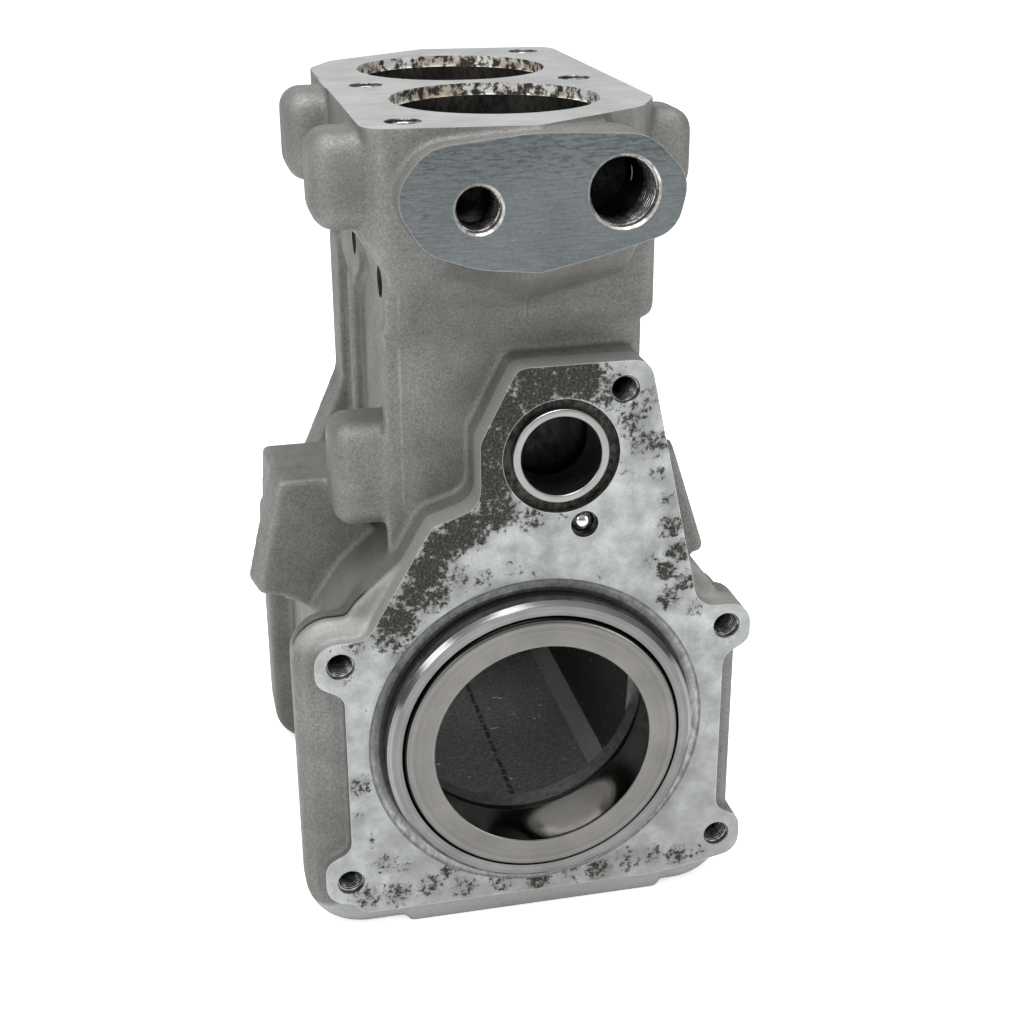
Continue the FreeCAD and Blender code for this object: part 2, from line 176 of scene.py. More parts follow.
def castAluminium(name, look):
    # Sand-cast aluminium, blasted: a dull grey skin of fine pits, bright grains and paler edges that are a
    # painted highlight
    mat, tree = newMaterial(name)
    place = millimetres(tree)
    grain = addNode(tree, "TexNoise", noiseOf(place, look["grainScale"], 5.0, 0.75)).outputs[0]
    cloud = addNode(tree, "TexNoise", noiseOf(place, look["cloudScale"], 3.0, 0.6)).outputs[0]
    both = addNode(tree, "Mix", {0: 0.3, 2: grain, 3: cloud}, data_type="FLOAT").outputs[0]
    # Painted highlight on convex edges and a little painted shade in creases, from the surface's curvature
    curve = addNode(tree, "NewGeometry").outputs["Pointiness"]
    ridge = addNode(tree, "MapRange", rangeOf(curve, 0.49, 0.56, -0.02, 0.13)).outputs[0]
    lit = addNode(tree, "Math", {0: both, 1: ridge}, operation="ADD").outputs[0]
    colour = ramp(tree, lit, look["tones"])
    cells = addNode(tree, "TexVoronoi", {"Vector": place, "Scale": look["grainScale"]}).outputs["Color"]
    rough = addNode(tree, "MapRange", rangeOf(cells, 0.0, 1.0, 0.40, 0.72)).outputs[0]
    across, deep, up = addNode(tree, "SeparateXYZ", {0: place}).outputs

    # The pattern's parting line below the port pad's point
    mark = look["parting"]
    line = product(tree, bandMask(tree, across, mark["x"], 0.35), bandMask(tree, up, mark["z"], 5.0),
                   bandMask(tree, deep, mark["y"], 1.0), mark["rise"])
    height = addNode(tree, "Math", {0: grain, 1: line}, operation="ADD").outputs[0]

    # Painted light on the flange's side wall, paler than the rest
    mark = look["rim"]
    colour = overlay(tree, colour, mark["tone"], bandMask(tree, deep, mark["y"], 0.6),
                     bandMask(tree, up, mark["z"], 3.0), mark["amount"])

    # Painted shadow line along the step behind the left ear, with painted shade below it
    mark = look["ear"]
    ear = product(tree, bandMask(tree, across, mark["x"], 2.0), bandMask(tree, up, mark["z"], 1.0))
    colour = overlay(tree, colour, mark["shade"], ear, bandMask(tree, deep, mark["shadeY"], 3.0), mark["amount"])
    colour = overlay(tree, colour, mark["line"], ear, bandMask(tree, deep, mark["shadowLineY"], 0.35))

    # Darker towards the foot, and painted light on the foot's edge under the flange, where the flange shades it
    mark = look["oil"]
    film = addNode(tree, "MapRange", rangeOf(up, mark["from"], mark["full"], 0.0, mark["amount"]))
    colour = overlay(tree, colour, mark["tone"], film.outputs[0])
    mark = look["foot"]
    colour = overlay(tree, colour, mark["tone"], bandMask(tree, up, mark["z"], 1.5),
                     bandMask(tree, deep, mark["y"], 2.0), mark["amount"])

    # Thin broken painted highlight along the ridge where the neck's rounded corner meets its flat front
    mark = look["corner"]
    patchy = addNode(tree, "MapRange", rangeOf(cloud, 0.42, 0.58, *mark["amount"])).outputs[0]
    colour = overlay(tree, colour, mark["tone"], bandMask(tree, across, mark["x"], 0.3),
                     bandMask(tree, up, mark["z"], 3.0), bandMask(tree, deep, mark["y"], 1.0), patchy)
    finishShader(tree, colour, rough, height, look["bumpDeep"], look["bumpStrength"], look["metallic"])
    return mat


def spotField(tree, place, spots):
    # Soft union of round patches on a front face, from (x, z, radius, weight) in millimetres
    total = None
    flat = addNode(tree, "VectorMath", {0: place, 1: (1.0, 0.0, 1.0)}, operation="MULTIPLY").outputs[0]
    for x, z, radius, weight in spots:
        far = addNode(tree, "VectorMath", {0: flat, 1: (x, 0.0, z)}, operation="DISTANCE").outputs["Value"]
        soft = addNode(tree, "MapRange", rangeOf(far, radius * 0.2, radius * 1.3, weight, 0.0),
                       interpolation_type="SMOOTHSTEP").outputs[0]
        if total is None:
            total = soft
        else:
            total = addNode(tree, "Math", {0: total, 1: soft, 2: 0.08}, operation="SMOOTH_MAX").outputs[0]
    return total


flangeLook = {
    "pale": ((0.35, "#888b8a"), (0.52, "#9fa2a2"), (0.68, "#b4b8b8")),
    "dirt": ((0.38, "#1b1a17"), (0.52, "#33322d"), (0.68, "#605e57")),
    # The last tone here is a painted highlight for the face's edges
    "pits": "#5e605e", "grime": "#7b7b78", "haze": "#63635e", "edgeHighlight": "#d4d6d5",
    # Corrosion left by a gasket, each patch as x, z, radius, weight
    "stains": (
        # above and left of the bush
        (-1, 94, 11, 0.74), (5, 96, 10, 0.72), (11, 95, 9, 0.68), (17, 92, 8, 0.52), (-8, 88, 9, 0.78),
        (-12, 80, 9, 0.80), (-12, 71, 9, 0.78), (-10, 63, 8, 0.70), (-18, 59, 9, 0.75), (-24, 55, 8, 0.72),
        (-28, 49, 8, 0.74), (-31, 43, 8, 0.66), (-36, 37, 9, 0.66), (-26, 43, 7, 0.58), (-20, 47, 6, 0.50),
        (-38, 33, 7, 0.58), (-36, 29, 5, 0.45), (-2, 60, 7, 0.50), (6, 59, 6, 0.42), (-6, 49, 5, 0.40),
        (-14, 46, 5, 0.42), (9, 45, 4, 0.34), (16, 44, 4, 0.34),
        # right of the bush and down the right edge
        (24, 84, 7, 0.50), (27, 89, 6, 0.44), (26, 78, 6, 0.52), (30, 77, 5, 0.52), (22, 71, 4, 0.35),
        (30, 69, 4, 0.42), (33, 62, 4, 0.46), (34, 55, 5, 0.58), (36, 48, 5, 0.62), (33, 43, 5, 0.55),
        (29, 46, 4, 0.42), (38, 39, 5, 0.52), (34, 35, 5, 0.55), (41, 32, 4, 0.40),
        # lower corners and bottom edge
        (-50, 25, 8, 0.36), (-46, 31, 5, 0.44), (50, 25, 6, 0.30), (-47, -9, 5, 0.50), (-47, -18, 3, 0.42),
        (-44, -26, 3, 0.34), (-41, -33, 5, 0.45), (-36, -35, 4, 0.38), (-46, -43, 6, 0.46), (-38, -43, 6, 0.50),
        (-29, -42, 6, 0.46), (-24, -38, 5, 0.46), (-20, -44, 6, 0.46), (-10, -44, 5, 0.44), (0, -45, 5, 0.60),
        (9, -44, 5, 0.40), (17, -44, 6, 0.54), (25, -42, 6, 0.44), (32, -42, 5, 0.48), (39, -43, 5, 0.50),
        (45, -43, 5, 0.36), (0, 45.5, 4, 0.30), (-38, 20, 3, 0.30),
    ),
    "clean": ((8, 70, 9, 0.22), (18, 62, 10, 0.30), (12, 53, 12, 0.30), (-6, 54, 8, 0.22), (-16, 51, 5, 0.22)),
}


def machinedFace(name, look):
    # Face-milled aluminium with dark brown-black corrosion specks left under an old gasket
    mat, tree = newMaterial(name)
    place = millimetres(tree)
    field = spotField(tree, place, look["stains"])
    clean = spotField(tree, place, look["clean"])
    left = addNode(tree, "Math", {0: field, 1: clean}, operation="SUBTRACT", use_clamp=True).outputs[0]
    grit = addNode(tree, "TexNoise", noiseOf(place, 0.62, 8.0, 0.7)).outputs[0]
    wide = addNode(tree, "TexNoise", noiseOf(place, 0.13, 4.0, 0.6)).outputs[0]
    mixed = addNode(tree, "Mix", {0: 0.25, 2: grit, 3: wide}, data_type="FLOAT").outputs[0]

    # A patch's weight lowers the height at which the grit counts as stain
    limit = addNode(tree, "Math", {0: left, 1: -0.36, 2: 0.665}, operation="MULTIPLY_ADD").outputs[0]
    over = addNode(tree, "Math", {0: mixed, 1: limit}, operation="SUBTRACT").outputs[0]
    stain = addNode(tree, "MapRange", rangeOf(over, -0.05, 0.045, 0.0, 1.0),
                    interpolation_type="SMOOTHSTEP").outputs[0]
    haze = addNode(tree, "MapRange", rangeOf(left, 0.15, 0.8, 0.0, 0.75)).outputs[0]

    pins = addNode(tree, "TexNoise", noiseOf(place, 2.2, 6.0, 0.75)).outputs[0]
    pitted = addNode(tree, "MapRange", rangeOf(pins, 0.36, 0.46, 0.55, 0.0)).outputs[0]
    colour = overlay(tree, ramp(tree, wide, look["pale"]), look["pits"], pitted)
    spot = addNode(tree, "SeparateXYZ", {0: place}).outputs
    # Darker towards the bottom and the right
    lower = addNode(tree, "MapRange", rangeOf(spot["Z"], 30.0, -50.0, 0.0, 0.5)).outputs[0]
    side = addNode(tree, "MapRange", rangeOf(spot["X"], -60.0, 55.0, 0.35, 1.0)).outputs[0]
    colour = overlay(tree, colour, look["grime"], lower, side)
    colour = overlay(tree, colour, look["haze"], haze)
    fine = addNode(tree, "TexNoise", noiseOf(place, 1.7, 4.0, 0.7)).outputs[0]
    dirty = ramp(tree, fine, look["dirt"])
    colour = addNode(tree, "Mix", {0: stain, 6: colour, 7: dirty}, data_type="RGBA").outputs[2]
    # Painted highlight along the face's edges
    colour = paintEdgeHighlight(tree, colour, 0.35, look["edgeHighlight"], 0.75)
    rough = addNode(tree, "MapRange", rangeOf(stain, 0.0, 1.0, 0.40, 0.8)).outputs[0]
    finishShader(tree, colour, rough, mixed, 0.00012, 0.35, 0.4)
    return mat


def handScratches(tree, colour, plain, amount):
    # Strokes left by hand work, thickest towards the pad's upper rim and its left end
    spot = addNode(tree, "SeparateXYZ", {0: plain}).outputs
    slanted = millimetres(tree, (0, 0.35, 0), (0.3, 1.0, 1.5))
    strokes = addNode(tree, "TexNoise", noiseOf(slanted, 1.0, 5.0, 0.68)).outputs[0]
    upper = addNode(tree, "MapRange", rangeOf(spot["Z"], 138.0, 148.0, 0.0, 0.13)).outputs[0]
    left = addNode(tree, "MapRange", rangeOf(spot["X"], -16.0, -28.0, 0.0, 0.08)).outputs[0]
    more = addNode(tree, "Math", {0: upper, 1: left}, operation="MAXIMUM").outputs[0]
    lifted = addNode(tree, "Math", {0: strokes, 1: more}, operation="ADD").outputs[0]
    dark = addNode(tree, "MapRange", rangeOf(lifted, 0.60, 0.70, 0.0, 0.5)).outputs[0]
    colour = overlay(tree, colour, "#2f3335", dark)

    # Thin bright arcs: the middle line of a stretched noise, kept only where a wide noise is high
    long = millimetres(tree, (0, 0.3, 0), (0.012, 0.3, 0.5))
    bent = addNode(tree, "TexNoise", noiseOf(long, 1.0, 0.0)).outputs[0]
    thin = bandMask(tree, bent, (0.499, 0.501), 0.002)
    some = addNode(tree, "TexNoise", noiseOf(plain, 0.11, 1.0)).outputs[0]
    kept = addNode(tree, "MapRange", rangeOf(some, 0.48, 0.58, 0.0, amount)).outputs[0]
    return overlay(tree, colour, "#c4c8c8", thin, kept)


def brushedFace(name, look):
    # Aluminium drawn over abrasive: fine parallel lines, some short dark strokes and a few bright scratches
    mat, tree = newMaterial(name)
    drawn = millimetres(tree, look["turn"], look["stretch"])
    lines = addNode(tree, "TexNoise", noiseOf(drawn, 1.0, 6.0, 0.75)).outputs[0]
    plain = millimetres(tree)
    cloud = addNode(tree, "TexNoise", noiseOf(plain, 0.06, 2.0)).outputs[0]
    grain = addNode(tree, "TexNoise", noiseOf(plain, 1.6, 5.0, 0.75)).outputs[0]
    mixed = addNode(tree, "Mix", {0: 0.25, 2: lines, 3: cloud}, data_type="FLOAT").outputs[0]
    mixed = addNode(tree, "Mix", {0: 0.3, 2: mixed, 3: grain}, data_type="FLOAT").outputs[0]
    spread, rough = look["spread"], look["rough"]
    colour = ramp(tree, mixed, ((0.5 - spread, look["low"]), (0.5 + spread, look["high"])))
    if look["scratches"]:
        colour = handScratches(tree, colour, plain, look["scratches"])
    # Painted highlight along the face's edges
    colour = paintEdgeHighlight(tree, colour, 0.35, "#cfd1d0", 0.6)
    wear = addNode(tree, "MapRange", rangeOf(lines, 0.3, 0.7, rough - 0.08, rough + 0.1)).outputs[0]
    finishShader(tree, colour, wear, mixed, 0.00012, 0.5, look["metallic"])
    return mat


brushedLooks = {
    "milledHeadFace": {"low": "#858786", "high": "#bfc1c0", "turn": (0, 0, 0.2), "stretch": (0.12, 1.2, 1.0),
                       "rough": 0.45, "metallic": 0.4, "scratches": 0.0, "spread": 0.15},
    "linishedPortPad": {"low": "#424749", "high": "#7c8284", "turn": (0, 0.06, 0), "stretch": (0.16, 1.0, 2.2),
                        "rough": 0.36, "metallic": 0.6, "scratches": 0.4, "spread": 0.2},
    "milledFoot": {"low": "#8f918f", "high": "#aeb0af", "turn": (0, 0, 0), "stretch": (1.5, 0.05, 1.0),
                   "rough": 0.5, "metallic": 0.5, "scratches": 0.0, "spread": 0.2},
}


def fromAxis(tree, place, centre):
    # Distance from an axis along Y through centre (x, z)
    moved = addNode(tree, "VectorMath", {0: place, 1: (centre[0], 0.0, centre[1])}, operation="SUBTRACT")
    flat = addNode(tree, "VectorMath", {0: moved.outputs[0], 1: (1.0, 0.0, 1.0)}, operation="MULTIPLY")
    return addNode(tree, "VectorMath", {0: flat.outputs[0]}, operation="LENGTH").outputs["Value"]


def turnedSteel(name, low, high, rough, centre=(0.0, 0.0), greaseAndShadeGap=None):
    # Ground bearing steel: fine rings about the axis, and old grease with painted shade where the gap to its
    # neighbour is
    mat, tree = newMaterial(name)
    place = millimetres(tree)
    out = fromAxis(tree, place, centre)
    deep = addNode(tree, "SeparateXYZ", {0: place}).outputs["Y"]
    turned = addNode(tree, "CombineXYZ", {"X": out, "Y": deep}).outputs[0]
    lines = addNode(tree, "TexNoise", noiseOf(turned, 4.0, 3.0, 0.6)).outputs[0]
    cloud = addNode(tree, "TexNoise", noiseOf(place, 0.09, 2.0)).outputs[0]
    mixed = addNode(tree, "Mix", {0: 0.4, 2: lines, 3: cloud}, data_type="FLOAT").outputs[0]
    colour = ramp(tree, mixed, ((0.3, low), (0.7, high)))
    if greaseAndShadeGap:
        # Old grease and painted shade in the gap to the neighbouring ring
        colour = overlay(tree, colour, "#141312", bandMask(tree, out, greaseAndShadeGap, 0.25))
    wear = addNode(tree, "MapRange", rangeOf(lines, 0.3, 0.7, rough - 0.05, rough + 0.06)).outputs[0]
    finishShader(tree, colour, wear, lines, 0.00002, 0.3, 1.0)
    return mat


def boreMetal(name, dark, light, speck, rough, metallic=0.8, deep=None, scale=0.55, paintedShadeRings=()):
    # Bored aluminium with bright and dark patches; deep gives the depths in y between which it goes black
    # as painted shade, and the shade rings give the inner and outer radius about the camshaft and the strength of
    # each
    mat, tree = newMaterial(name)
    place = millimetres(tree, (0, 0, 0), (1.0, 1.0, 0.6))
    patch = addNode(tree, "TexNoise", noiseOf(place, scale, 6.0, 0.7)).outputs[0]
    colour = ramp(tree, patch, ((0.5 - speck * 0.16, dark), (0.5 + speck * 0.16, light)))
    # Painted shade: black deeper into the hole
    if deep:
        inward = addNode(tree, "SeparateXYZ", {0: millimetres(tree)}).outputs["Y"]
        oil = addNode(tree, "MapRange", rangeOf(inward, deep[0], deep[1], 0.0, 0.95)).outputs[0]
        colour = overlay(tree, colour, "#0c0b0b", oil)
    # Rings of painted shade about the camshaft's axis
    for inner, outer, amount in paintedShadeRings:
        out = fromAxis(tree, millimetres(tree), (0.0, 0.0))
        colour = overlay(tree, colour, "#1a1918", bandMask(tree, out, (inner, outer), 0.5), amount)
    wear = addNode(tree, "MapRange", rangeOf(patch, 0.3, 0.7, rough + 0.15, rough - 0.15)).outputs[0]
    finishShader(tree, colour, wear, patch, 0.0001, 0.4, metallic)
    return mat


def wornLip(name):
    # The two bores' shallow lips: plating flaked to white, tan and black patches
    mat, tree = newMaterial(name)
    place = millimetres(tree)
    patch = addNode(tree, "TexNoise", noiseOf(place, 0.42, 7.0, 0.72)).outputs[0]
    tint = addNode(tree, "TexNoise", noiseOf(place, 0.12, 2.0)).outputs[0]
    pale = ramp(tree, tint, ((0.45, "#e9e8e5"), (0.62, "#c9bdab")))
    dark = ramp(tree, patch, ((0.44, "#37332d"), (0.5, "#8f887c")))
    flake = addNode(tree, "MapRange", rangeOf(patch, 0.47, 0.53, 0.0, 1.0)).outputs[0]
    colour = addNode(tree, "Mix", {0: flake, 6: dark, 7: pale}, data_type="RGBA").outputs[2]
    finishShader(tree, colour, 0.4, patch, 0.0003, 0.6, 0.25)
    return mat


chamberLook = {
    "tones": ((0.35, "#515151"), (0.5, "#727272"), (0.68, "#9a9a9a")),
    "wall": {"tone": "#1e1e1e", "from": -33.9, "full": -33.4, "amount": 0.8},
    "cove": {"tone": "#b0b0ae", "x": (25.8, 31.0), "z": (-40.0, -33.7), "amount": 0.6},
    "seam": {"tone": "#0d0d0d", "x": (0.0, 0.8), "z": (-45.0, -36.0)},
    "chips": "#e8e8e6",
}


def oiledChamber(name, look):
    # The cam chamber's rough cast skin, with painted shade on its walls, a painted highlight along one cove, the
    # core's broken seam and a few bright chips
    mat, tree = newMaterial(name)
    place = millimetres(tree)
    grain = addNode(tree, "TexNoise", noiseOf(place, 1.1, 6.0, 0.7)).outputs[0]
    colour = ramp(tree, grain, look["tones"])
    spot = addNode(tree, "SeparateXYZ", {0: place}).outputs
    # Painted shade on the walls above the floor
    mark = look["wall"]
    wall = addNode(tree, "MapRange", rangeOf(spot["Z"], mark["from"], mark["full"], 0.0, mark["amount"]))
    colour = overlay(tree, colour, mark["tone"], wall.outputs[0])
    # Painted highlight along the cove between the floor and the right wall
    mark = look["cove"]
    colour = overlay(tree, colour, mark["tone"], bandMask(tree, spot["X"], mark["x"], 0.3),
                     bandMask(tree, spot["Z"], mark["z"], 0.3), mark["amount"])
    mark = look["seam"]
    broken = addNode(tree, "TexNoise", noiseOf(place, 0.5, 3.0)).outputs[0]
    gate = addNode(tree, "MapRange", rangeOf(broken, 0.42, 0.5, 0.0, 1.0)).outputs[0]
    colour = overlay(tree, colour, mark["tone"], bandMask(tree, spot["X"], mark["x"], 0.5),
                     bandMask(tree, spot["Z"], mark["z"], 1.0), gate)
    chip = addNode(tree, "TexNoise", noiseOf(millimetres(tree, (0, 0, 0.5), (0.35, 0.9, 1.0)), 0.7, 4.0))
    bright = addNode(tree, "MapRange", rangeOf(chip.outputs[0], 0.69, 0.74, 0.0, 1.0)).outputs[0]
    colour = overlay(tree, colour, look["chips"], bright)
    finishShader(tree, colour, 0.42, grain, 0.0006, 0.7, 0.3)
    return mat


castSkin = castAluminium("sandCastAluminium", castLook)
flangeFace = machinedFace("stainedFlangeFace", flangeLook)
headFace, padFace, footFace = [brushedFace(name, look) for name, look in brushedLooks.items()]
boreWall = boreMetal("honedTappetBore", "#1d1c1a", "#4a4844", 0.7, 0.4)
boreLip = wornLip("wornBoreLip")
# Painted shade deeper in the hole
holeWall = boreMetal("drilledHole", "#2c2c2b", "#7b7b79", 0.6, 0.35, deep=(3.0, 14.0))
headHoleWall = boreMetal("drilledHeadHole", "#2c2c2b", "#7b7b79", 0.6, 0.35)
# Painted shade: the port goes black just inside its mouth
portWall = boreMetal("oiledPort", "#8f8e8a", "#e6e5e2", 0.5, 0.3, 0.7, deep=(-0.35, 0.8))
# Rings of painted shade next to the sleeve and along the relief's outer edge
seatWall = boreMetal("turnedSeat", "#7e807f", "#a6a8a7", 0.8, 0.4,
                     paintedShadeRings=((39.0, 41.0, 0.68), (43.6, 44.2, 0.5)))
# A dark material as painted shade inside the groove round the bush
grooveWall = boreMetal("groovePaintedShade", "#161512", "#4a4943", 0.6, 0.6, 0.3, scale=0.9)
recessWall = boreMetal("shadowedRecess", "#1c1c1a", "#3f3f3c", 0.6, 0.7, 0.2)
chamberSkin = oiledChamber("oiledChamberSkin", chamberLook)
cupSteel = turnedSteel("groundRaceRing", "#63625f", "#858380", 0.28, greaseAndShadeGap=(35.35, 36.5))
racewaySteel = turnedSteel("polishedRaceway", "#a8a59f", "#bfbcb5", 0.08)
sleeveSteel = turnedSteel("turnedSleeveSteel", "#636363", "#8a8a8a", 0.24, greaseAndShadeGap=(35.0, 36.15))
chamferSteel = turnedSteel("polishedSleeveChamfer", "#737372", "#989897", 0.13)
bushSteel = turnedSteel("turnedBushSteel", "#868584", "#a8a7a6", 0.28, centre=(5.8, 75.9))
ballSteel = turnedSteel("polishedBall", "#c6c6c6", "#dededd", 0.08, centre=(11.7, 57.7))
# Painted shade deeper in the thread
threadMetal = boreMetal("cutThread", "#5a5a58", "#b4b4b2", 0.6, 0.25, deep=(4.0, 12.0))
headThreadMetal = boreMetal("cutHeadThread", "#6a6a68", "#c4c4c2", 0.6, 0.25)
print("materials made", len(bpy.data.materials))


# All in millimetres, y from the front face, z from the camshaft's axis
casting = {
    "voxel": 0.75, "smoothing": 8, "keepShare": 0.24, "stock": 6.0, "sharpAngle": 32,
    "frontPlane": 0.0, "padPlane": -1.0, "padFrom": 110.0,
    "topPlane": 154.3, "rearPlane": 151.0, "footPlane": -54.4,
    "outside": ((-90, -30, -90), (90, 180, 190)), "rearUp": 100.0,
    "tappetY": (46.8, 105.3), "tappetRadius": 25.6, "tappetLow": 30.0, "tappetLong": 130, "tappetSides": 128,
    "lipRadius": 26.2, "lipDepth": 3.0, "lipLong": 10,
    "sleeveRadius": 40.0, "sleeveEnd": 18.9, "reliefOut": 44.0, "reliefFlare": 2.2, "reliefDepth": 1.8,
    "floorRadius": 33.0,
    "chamberNear": 24.4, "chamberFar": 116.0,
    "chamber": ((-33, 26), (-25, 34), (25, 34), (33, 26), (30, -33.6), (25.6, -38), (-25, -38), (-33, -30)),
    "rearRadius": 31.0, "rearSeat": 133.0, "rearBore": 27.0,
    "bush": (5.8, 75.9), "bushHole": 12.05, "bushDeep": 17.0, "groove": 14.6, "grooveDeep": 2.6, "bushSides": 96,
    "ball": (11.7, 57.7), "ballPocket": 3.5, "ballPocketDeep": 2.6, "ballHole": 3.0, "galleryDeep": 18.0,
    "flangeHoles": ((-50, 25.5), (50, 25.5), (-50, -37.75), (50, -37.75), (21.4, 91.7)),
    "flangeHole": (3.35, 20, 0.25),  # radius, depth, countersink
    "headHoles": ((-28, 16.05), (-28, 76.05), (28, 76.05), (28, 136.05)),
    "headHole": (4.15, -26, 0.25),
    "ports": ((-14.0, 136.8, 5.4, 24.0), (19.9, 139.2, 8.2, 27.0)),  # x, z, radius, depth
    "portSink": 0.5,
    "noseHoleCircle": 36.75, "noseHole": (2.9, 137, 20),  # radius, near end, length
    # Holes below the head, as side, y, z, radius, the wall they stand in, and where each side's tool starts
    "recesses": ((-1, 19.0, 116.8, 3.9), (-1, 64.5, 116.6, 3.9), (-1, 76.0, 119.0, 2.4),
                 (1, 75.0, 115.5, 3.6), (1, 131.0, 115.5, 3.6)),
    "recessFace": 34.2, "recessStart": {-1: -44, 1: 30.5}, "recessLong": 13.5,
    "pear": ((0.0, 5.4), (-6.5, 4.2), (-11.5, 2.6)),  # pad round each hole on the right: drop, radius
    # The two bosses on the left, as outlines of (y, z)
    "bosses": (
        ((14.0, 125), (33, 125), (33.4, 114), (31.5, 111.5), (25, 109), (20, 107), (17.6, 105), (14.4, 105),
         (13.6, 108)),
        ((59, 125), (95, 125), (95.6, 108.6), (92.5, 106.4), (85, 105.4), (79, 103.4), (76.6, 101), (73.4, 101),
         (69, 105.5), (61.5, 109), (59, 112)),
    ),
    "bossInner": 28, "padInner": 27,
    "fins": ((-1, 16.4, 66), (-1, 75.0, 60), (1, 76.0, 40), (1, 136.0, 40)),  # side, y, foot
    "finFrom": 29, "finTo": 35, "finHalf": 0.95, "finTop": 106,
    # Fillings before machining, as radius, near end, length
    "chamberPlug": ((-34, 20, -39), (34, 117, 35)),
    "seatPlug": (44.5, -5, 30), "nosePlug": (32, 112, 43), "tappetPlug": (27.2, 25, 134),
    "bushPlug": (15.4, -5, 24), "ballPlug": (4.2, -5, 26),
    "flangeHolePlug": (4.6, -5, 30), "headHolePlug": (5.6, 120, 39),
    "portPlug": (1, -6, 26), "portEndPlug": (3.6, 10, 30), "noseHolePlug": (3.2, 130, 26),
    # Where the part lies inside the CAD shape: y from, y to, outline of (x, z)
    "shaved": (
        (-5, 15.2, ((-60, 127), (-36.8, 127), (-36.3, 125.5), (-33.6, 119.7), (-33.0, 114), (-32.4, 108),
                    (-32.2, 104), (-60, 104))),
        (15.0, 33.4, ((-60, 126), (-37.0, 126), (-34.2, 120.2), (-34.2, 104), (-60, 104))),
        (33.2, 59.2, ((-60, 125), (-37.4, 125), (-33.6, 119.5), (-31.6, 112), (-31.4, 104), (-60, 104))),
        (59.0, 96.0, ((-60, 126), (-37.0, 126), (-34.2, 120.2), (-34.2, 104), (-60, 104))),
    ),
}
toolTurns = {
    "x": Matrix.Rotation(math.radians(90), 4, "Y"),
    "y": Matrix.Rotation(math.radians(-90), 4, "X"),
    "z": Matrix.Identity(4),
}
drillShape = {"sides": 48, "cone": 0.55, "tip": 0.05, "before": 1.0}


def addCylinder(work, centre, radius, length, axis, segments=64):
    # centre is the middle of the near end, and the cylinder runs from it along +axis
    reach = Vector((0, 0, 0))
    reach["xyz".index(axis)] = length / 2
    move = Matrix.Translation((Vector(centre) + reach) * mm)
    bmesh.ops.create_cone(work, cap_ends=True, segments=segments, radius1=radius * mm, radius2=radius * mm,
                          depth=length * mm, matrix=move @ toolTurns[axis])


def addPlug(work, x, other, plug, axis="y"):
    # Cylinder along Y at (x, z), or along Z at (x, y), from (radius, near end, length)
    radius, near, length = plug
    centre = (x, near, other) if axis == "y" else (x, other, near)
    addCylinder(work, centre, radius, length, axis)


def addBox(work, low, high):
    size = Vector(high) - Vector(low)
    middle = (Vector(high) + Vector(low)) / 2
    scale = Matrix.Diagonal((size.x * mm, size.y * mm, size.z * mm, 1.0))
    bmesh.ops.create_cube(work, size=1.0, matrix=Matrix.Translation(middle * mm) @ scale)


def wallBetween(work, a, b):
    # Four-sided faces from one ring of points to the next
    count = len(a)
    return [work.faces.new((a[k], a[(k + 1) % count], b[(k + 1) % count], b[k])) for k in range(count)]


def addPrism(work, axis, outline, near, far):
    # Prism along X from an outline of (y, z), or along Y from an outline of (x, z)
    ends = []
    for level in (near, far):
        if axis == "x":
            ends.append([work.verts.new((level * mm, p * mm, q * mm)) for p, q in outline])
        else:
            ends.append([work.verts.new((p * mm, level * mm, q * mm)) for p, q in outline])
    made = [work.faces.new(ends[0]), work.faces.new(ends[1])] + wallBetween(work, *ends)
    bmesh.ops.recalc_face_normals(work, faces=made)


def drillHole(work, mouth, radius, deep, sink, axis):
    # Straight hole with a countersunk mouth and a cone at the bottom; deep is signed along the axis
    d = drillShape
    sign = 1 if deep > 0 else -1
    index = "xyz".index(axis)
    steps = [(-d["before"], radius + sink + d["before"]), (sink, radius), (abs(deep), radius),
             (abs(deep) + radius * d["cone"], d["tip"])]
    rings = []
    for depth, r in steps:
        ring = []
        for k in range(d["sides"]):
            turn = 2 * math.pi * k / d["sides"]
            point = Vector(mouth)
            point[index] += sign * depth
            point[0] += r * math.cos(turn)
            point[3 - index] += r * math.sin(turn)
            ring.append(work.verts.new(point * mm))
        rings.append(ring)
    work.faces.new(rings[0])
    work.faces.new(rings[-1])
    for a, b in zip(rings, rings[1:]):
        wallBetween(work, a, b)


def lathe(name, points, mat, segments=160, centre=(0, 0), closed=True):
    # Turns a section of (radius, depth) about an axis along Y through centre (x, z);
    # a section that isn't closed starts and ends on that axis
    work = bmesh.new()
    rings = []
    for radius, depth in points:
        if radius == 0:
            rings.append([work.verts.new((centre[0] * mm, depth * mm, centre[1] * mm))])
            continue
        ring = []
        for k in range(segments):
            turn = 2 * math.pi * k / segments
            x, z = centre[0] + radius * math.cos(turn), centre[1] + radius * math.sin(turn)
            ring.append(work.verts.new((x * mm, depth * mm, z * mm)))
        rings.append(ring)
    for i in range(len(points) if closed else len(points) - 1):
        a, b = rings[i], rings[(i + 1) % len(points)]
        if len(a) > 1 and len(b) > 1:
            wallBetween(work, a, b)
            continue
        for k in range(segments):
            n = (k + 1) % segments
            work.faces.new((a[0], b[n], b[k]) if len(a) == 1 else (a[k], a[n], b[0]))
    bmesh.ops.recalc_face_normals(work, faces=work.faces)
    return joinMesh(name, work, [mat])


